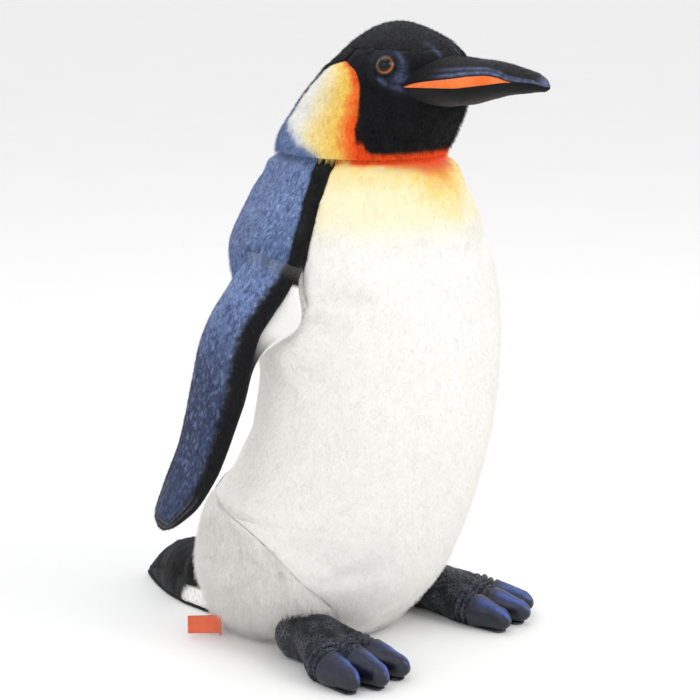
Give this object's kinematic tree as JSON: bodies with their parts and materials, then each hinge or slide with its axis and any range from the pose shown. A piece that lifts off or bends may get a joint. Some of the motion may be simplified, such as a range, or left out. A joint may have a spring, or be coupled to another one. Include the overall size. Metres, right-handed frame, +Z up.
{
  "type": "plush penguin",
  "caption": "Standing stuffed penguin with a weighted flat base, sewn pile panels, hanging flippers, a long beak, cloth feet and a wedge tail.",
  "frame": {"origin": "middle of the footprint of the whole toy, on the surface it stands on", "axes": "+Z up to the crown, -Y the way the bird faces, +X towards its own left side"},
  "size_m": [0.2276, 0.315, 0.38],
  "materials": {
    "white_pile": "short white pile",
    "long_white_pile": "long white pile",
    "blue_pile": "blue printed pile",
    "black_pile": "short black pile",
    "neck_pile": "pile printed white to yellow to orange",
    "beak_cloth": "smooth black cloth with a blue printed edge",
    "orange_cloth": "smooth orange cloth",
    "foot_cloth": "dark printed scaly cloth",
    "toe_cloth": "smooth satin blue cloth",
    "eye_plastic": "glossy",
    "washer_plastic": "matte",
    "label_ribbon": "blank woven ribbon",
    "thread": "sewing thread",
    "fibre": "loose polyester fibre",
    "pouch_cloth": "plain woven cotton",
    "pellets": "plastic pellets"
  },
  "bodies": {
    "torso": {"base_panel": "white_pile", "belly_panel": "white_pile", "back_panel": "blue_pile", "right_side_stripe": "black_pile", "left_side_stripe": "black_pile", "right_thigh_panel": "long_white_pile", "left_thigh_panel": "long_white_pile", "body_filling": "fibre", "pellet_pouch_top": "pouch_cloth", "pellet_pouch_bottom": "pouch_cloth", "pellet_fill": "pellets", "collar_seam": "thread", "right_shoulder_seam": "thread", "left_shoulder_seam": "thread", "tail_top_panel": "black_pile", "tail_underside": "black_pile", "tail_filling": "fibre", "right_foot_upper": "foot_cloth", "right_foot_sole": "foot_cloth", "right_foot_filling": "fibre", "right_inner_toe_cap": "toe_cloth", "right_middle_toe_cap": "toe_cloth", "right_outer_toe_cap": "toe_cloth", "left_foot_upper": "foot_cloth", "left_foot_sole": "foot_cloth", "left_foot_filling": "fibre", "left_inner_toe_cap": "toe_cloth", "left_middle_toe_cap": "toe_cloth", "left_outer_toe_cap": "toe_cloth", "label_stitching": "thread"},
    "head": {"right_cheek_panel": "black_pile", "left_cheek_panel": "black_pile", "right_neck_patch": "neck_pile", "left_neck_patch": "neck_pile", "nape_panel": "black_pile", "crown_panel": "black_pile", "head_filling": "fibre", "upper_beak_panel": "beak_cloth", "right_beak_stripe": "orange_cloth", "left_beak_stripe": "orange_cloth", "lower_beak_panel": "beak_cloth", "beak_filling": "fibre", "right_eye": "eye_plastic", "left_eye": "eye_plastic", "right_eye_washer": "washer_plastic", "left_eye_washer": "washer_plastic"},
    "right_flipper": {"right_flipper_outer_panel": "blue_pile", "right_flipper_inner_panel": "white_pile", "right_flipper_filling": "fibre"},
    "left_flipper": {"left_flipper_outer_panel": "blue_pile", "left_flipper_inner_panel": "white_pile", "left_flipper_filling": "fibre"},
    "label": {"woven_label": "label_ribbon"}
  },
  "joints": [
    {"name": "head_turn", "type": "hinge", "parent": "torso", "child": "head", "pos_m": [0, -0.0245, 0.3035], "axis": [0, 0, 1], "range_deg": [-25, 25], "stiffness_Nm_per_rad": 0.3},
    {"name": "right_flipper_raise", "type": "hinge", "parent": "torso", "child": "right_flipper", "pos_m": [-0.087, -0.016, 0.245], "axis": [0, 0.9511, 0.309], "range_deg": [-4, 70], "stiffness_Nm_per_rad": 0.15},
    {"name": "left_flipper_raise", "type": "hinge", "parent": "torso", "child": "left_flipper", "pos_m": [0.087, -0.016, 0.245], "axis": [0, -0.9511, -0.309], "range_deg": [-4, 70], "stiffness_Nm_per_rad": 0.15},
    {"name": "label_flap", "type": "hinge", "parent": "torso", "child": "label", "pos_m": [-0.06433, 0.03521, 0.008], "axis": [0, 0, 1], "range_deg": [-45, 30], "stiffness_Nm_per_rad": 0.001}
  ]
}
